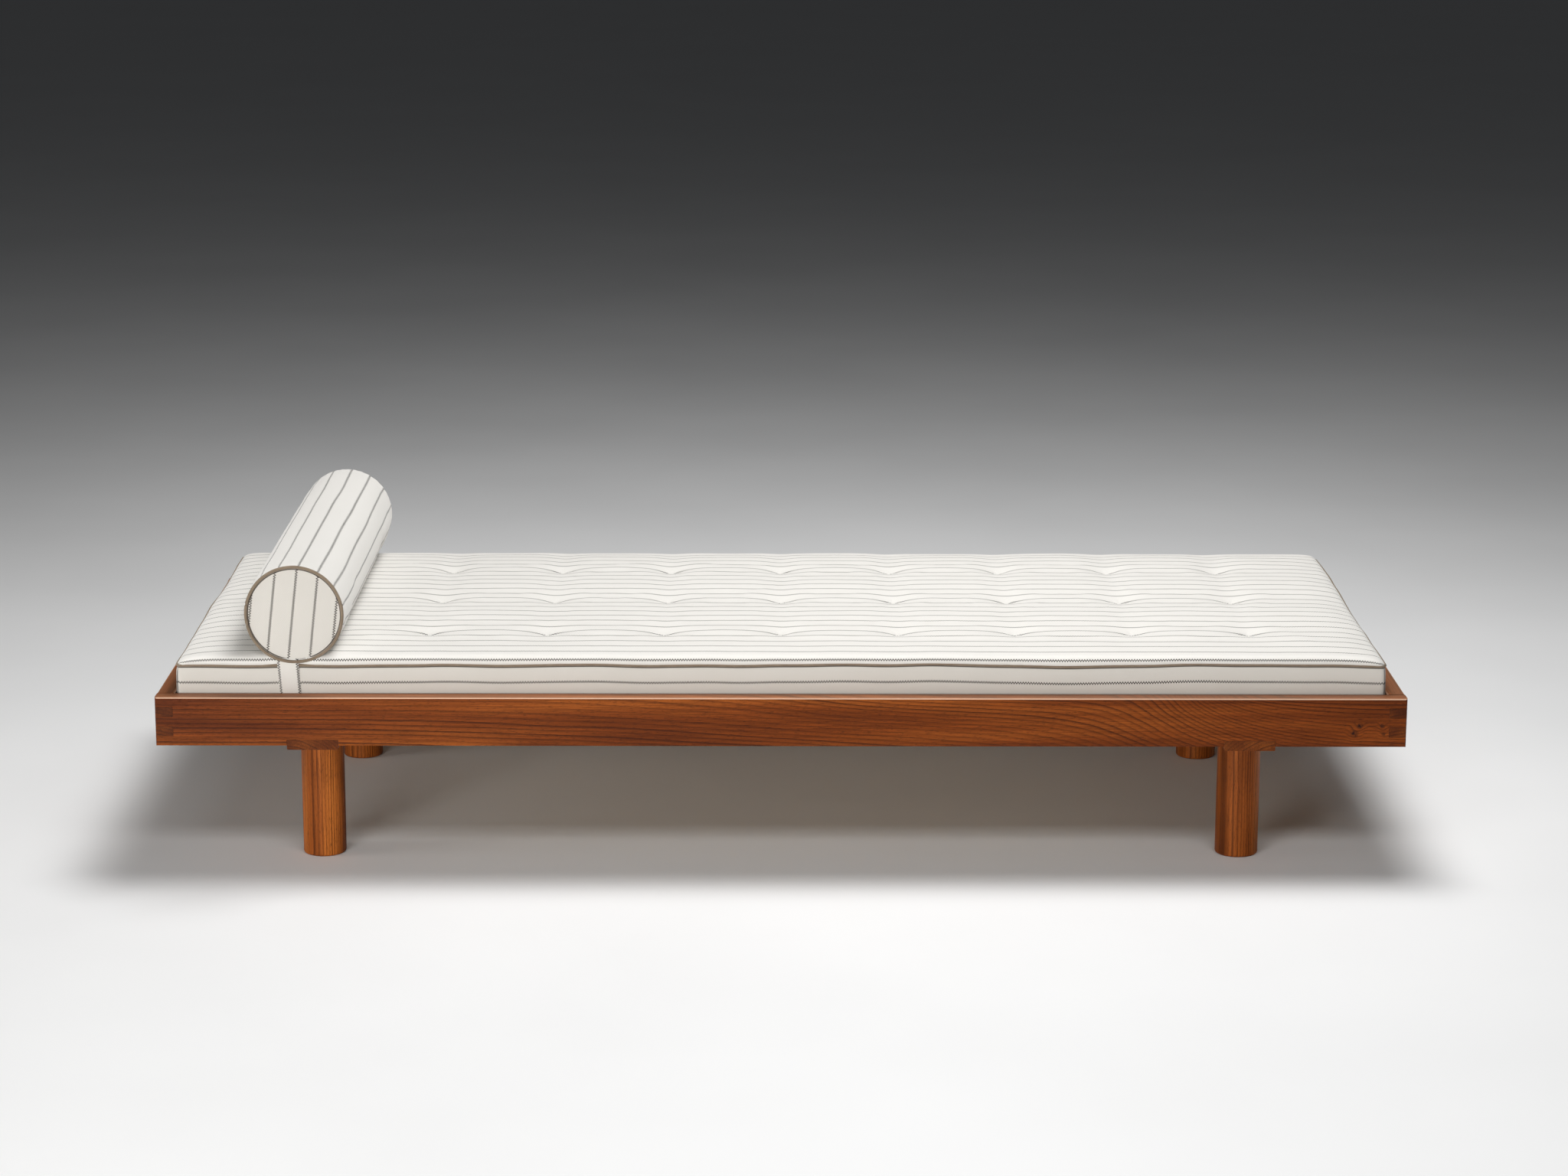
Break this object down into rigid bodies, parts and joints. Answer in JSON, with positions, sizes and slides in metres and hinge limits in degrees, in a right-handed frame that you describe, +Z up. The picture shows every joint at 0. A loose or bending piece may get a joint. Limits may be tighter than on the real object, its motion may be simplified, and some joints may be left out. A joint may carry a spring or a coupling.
{
  "type": "daybed",
  "caption": "Low wooden daybed on round legs with a slatted base, a loose tufted ticking mattress and a round bolster held by a strap.",
  "frame": {"origin": "on the floor under the middle of the board frame", "axes": "+X along the bed from the bolster end to the foot end, +Y from the front to the back, +Z up"},
  "size_m": [2, 0.85, 0.5038],
  "materials": {
    "frame_wood": "satin",
    "leg_wood": "satin",
    "base_wood": "matte",
    "fixing_steel": "satin",
    "webbing": "matte",
    "ticking": "matte",
    "piping": "matte"
  },
  "bodies": {
    "frame": {"crossbar_foot": "frame_wood", "crossbar_head": "frame_wood", "end_board_foot": "frame_wood", "end_board_head": "frame_wood", "hanger_bolt_foot_back": "fixing_steel", "hanger_bolt_foot_front": "fixing_steel", "hanger_bolt_head_back": "fixing_steel", "hanger_bolt_head_front": "fixing_steel", "ledger_back": "base_wood", "ledger_front": "base_wood", "ledger_screw_back_1": "fixing_steel", "ledger_screw_back_2": "fixing_steel", "ledger_screw_back_3": "fixing_steel", "ledger_screw_back_4": "fixing_steel", "ledger_screw_front_1": "fixing_steel", "ledger_screw_front_2": "fixing_steel", "ledger_screw_front_3": "fixing_steel", "ledger_screw_front_4": "fixing_steel", "leg_foot_back": "leg_wood", "leg_foot_front": "leg_wood", "leg_head_back": "leg_wood", "leg_head_front": "leg_wood", "nut_foot_back": "fixing_steel", "nut_foot_front": "fixing_steel", "nut_head_back": "fixing_steel", "nut_head_front": "fixing_steel", "rail_back": "frame_wood", "rail_front": "frame_wood", "slat_1": "base_wood", "slat_10": "base_wood", "slat_11": "base_wood", "slat_12": "base_wood", "slat_13": "base_wood", "slat_2": "base_wood", "slat_3": "base_wood", "slat_4": "base_wood", "slat_5": "base_wood", "slat_6": "base_wood", "slat_7": "base_wood", "slat_8": "base_wood", "slat_9": "base_wood", "slat_screw_back_1": "fixing_steel", "slat_screw_back_13": "fixing_steel", "slat_screw_front_1": "fixing_steel", "slat_screw_front_13": "fixing_steel", "slat_tape_back": "webbing", "slat_tape_front": "webbing", "washer_foot_back": "fixing_steel", "washer_foot_front": "fixing_steel", "washer_head_back": "fixing_steel", "washer_head_front": "fixing_steel"},
    "mattress": {"mattress": "ticking", "mattress_piping_bottom": "piping", "mattress_piping_top": "piping"},
    "bolster": {"bolster": "ticking", "bolster_piping_back": "piping", "bolster_piping_front": "piping", "bolster_strap": "ticking"}
  },
  "joints": [
    {"name": "mattress_lift", "type": "slide", "parent": "frame", "child": "mattress", "axis": [0, 0, 1], "range_m": [0, 0.25]},
    {"name": "bolster_slide", "type": "slide", "parent": "mattress", "child": "bolster", "axis": [1, 0, 0], "range_m": [-0.11, 1.66]}
  ]
}
